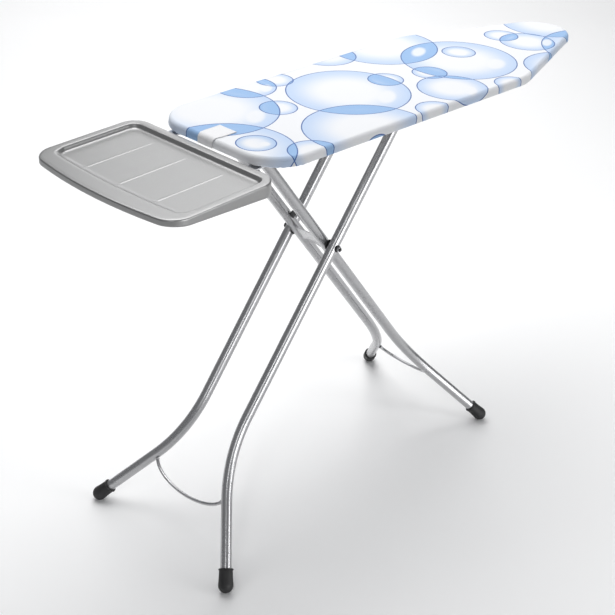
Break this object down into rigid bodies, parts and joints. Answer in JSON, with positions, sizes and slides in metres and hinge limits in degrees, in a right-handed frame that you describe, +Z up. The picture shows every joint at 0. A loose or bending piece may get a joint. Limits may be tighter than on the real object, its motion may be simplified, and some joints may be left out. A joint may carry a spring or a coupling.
{
  "type": "ironing board",
  "caption": "Folding ironing board on crossed tube legs, with a padded cloth top that tapers to a round nose and a pressed steel rest tray at its wide end.",
  "frame": {"origin": "on the floor, under the middle of the overall length, tray included, and in the middle plane", "axes": "+X along the board towards its nose, +Y towards its left side, +Z up"},
  "size_m": [1.515, 0.4819, 0.9559],
  "materials": {
    "cover": "woven cotton printed with blue bubbles on white",
    "pad": "thin foam under the cover",
    "tag": "blank woven tag",
    "frame_paint": "satin silver powder coat",
    "tray_paint": "matt silver-grey powder coat",
    "galvanised": "zinc plated",
    "chrome": "bright plated",
    "rubber": "matt black",
    "black_plastic": "black, slightly satin",
    "nylon": "natural nylon"
  },
  "bodies": {
    "board": {"cover": "cover", "foam_pad": "pad", "care_tag": "tag", "top_mesh": "frame_paint", "top_rim": "frame_paint", "rear_brace": "frame_paint", "mid_brace": "frame_paint", "front_brace": "frame_paint", "hinge_bracket_left": "galvanised", "hinge_bracket_right": "galvanised", "slide_rail_left": "galvanised", "slide_rail_right": "galvanised", "height_rack": "galvanised", "unit_tray": "tray_paint", "tray_strap_left": "galvanised", "tray_strap_right": "galvanised", "tray_screw_left_1": "galvanised", "tray_screw_left_2": "galvanised", "tray_screw_right_1": "galvanised", "tray_screw_right_2": "galvanised", "lever_pin": "galvanised", "lever_spring": "galvanised"},
    "lever": {"release_lever": "galvanised", "lever_catch": "galvanised", "lever_grip": "black_plastic"},
    "inner_frame": {"inner_leg_left": "frame_paint", "inner_leg_right": "frame_paint", "inner_top_rod": "frame_paint", "inner_stretcher": "frame_paint", "inner_foot_left": "rubber", "inner_foot_right": "rubber", "pivot_plate": "frame_paint", "leg_clip": "black_plastic"},
    "outer_frame": {"outer_leg_left": "frame_paint", "outer_leg_right": "frame_paint", "outer_top_rod": "frame_paint", "outer_stretcher": "frame_paint", "outer_foot_left": "rubber", "outer_foot_right": "rubber", "slide_roller_left": "nylon", "slide_roller_right": "nylon", "pivot_bolt": "black_plastic", "pivot_washer": "black_plastic", "pivot_nut": "chrome", "pivot_spacer_left": "black_plastic", "pivot_spacer_right": "black_plastic"}
  },
  "joints": [
    {"name": "leg_fold", "type": "hinge", "parent": "board", "child": "inner_frame", "pos_m": [-0.3713, 0, 0.919], "axis": [0, -1, 0], "range_deg": [0, 50]},
    {"name": "leg_scissor", "type": "hinge", "parent": "inner_frame", "child": "outer_frame", "pos_m": [-0.14989, 0, 0.63046], "axis": [0, -1, 0], "range_deg": [-100, 0]},
    {"name": "height_lever", "type": "hinge", "parent": "board", "child": "lever", "pos_m": [0.16071, -0.113, 0.912], "axis": [0, 1, 0], "range_deg": [0, 3], "stiffness_Nm_per_rad": 1, "springref_deg": -5.73}
  ],
  "couplings": [
    {"joint": "leg_scissor", "follows": "leg_fold", "ratio": -2}
  ]
}
